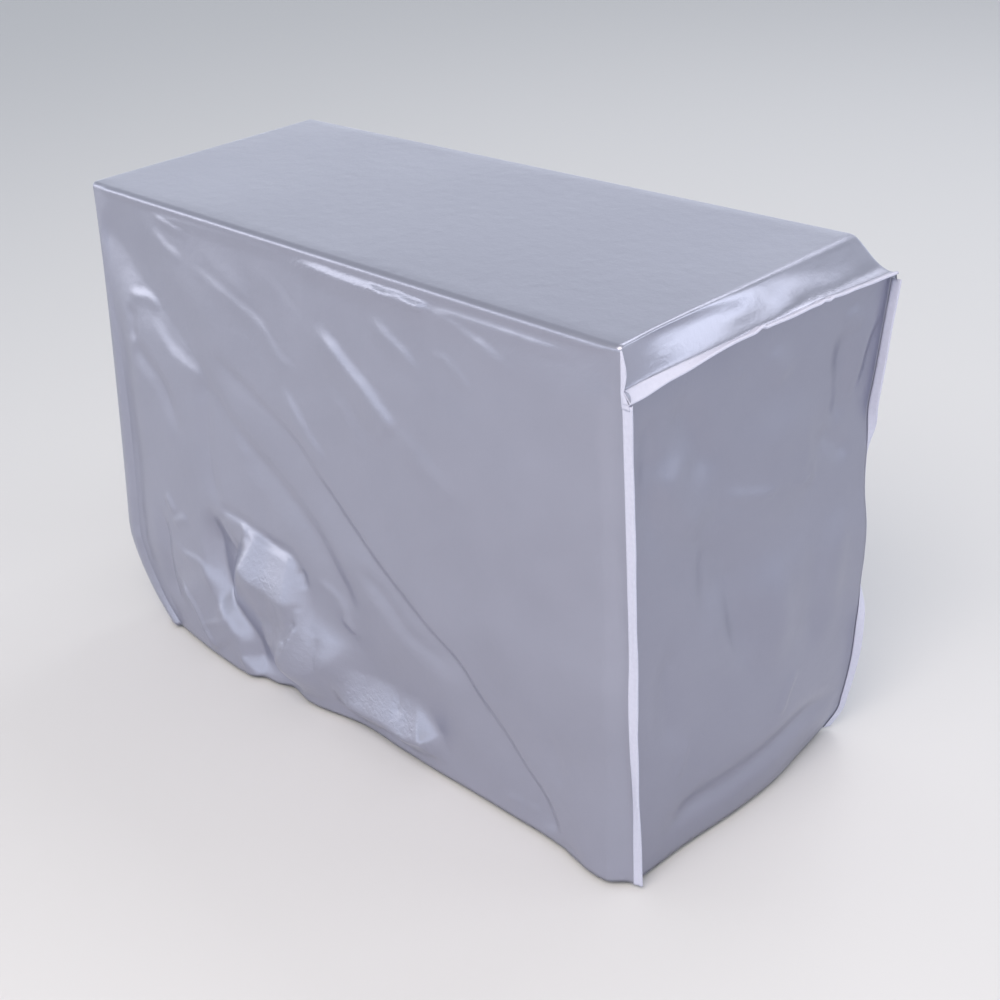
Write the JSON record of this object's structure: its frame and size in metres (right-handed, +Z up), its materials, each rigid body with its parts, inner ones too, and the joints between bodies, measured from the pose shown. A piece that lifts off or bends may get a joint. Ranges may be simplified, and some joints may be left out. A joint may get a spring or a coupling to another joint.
{
  "type": "air conditioner cover",
  "caption": "Silver-coated cloth cover for an outdoor air conditioner unit, sewn as a box that is open below, with turned-out seams bound in white tape.",
  "frame": {"origin": "middle of the unit's top face, on the underside of the cover's top", "axes": "+Z up, +X along the front to the right, +Y from the front to the back"},
  "size_m": [0.8863, 0.3934, 0.5706],
  "materials": {
    "silver_cloth": "silver-coated polyester taffeta, satin sheen, fine plain weave",
    "white_tape": "matt white woven binding tape"
  },
  "bodies": {
    "root": {"front_top_back_panel": "silver_cloth", "right_end_panel": "silver_cloth", "left_end_panel": "silver_cloth", "binding_front_right": "white_tape", "binding_top_right": "white_tape", "binding_back_right": "white_tape", "binding_front_left": "white_tape", "binding_top_left": "white_tape", "binding_back_left": "white_tape"}
  },
  "joints": []
}
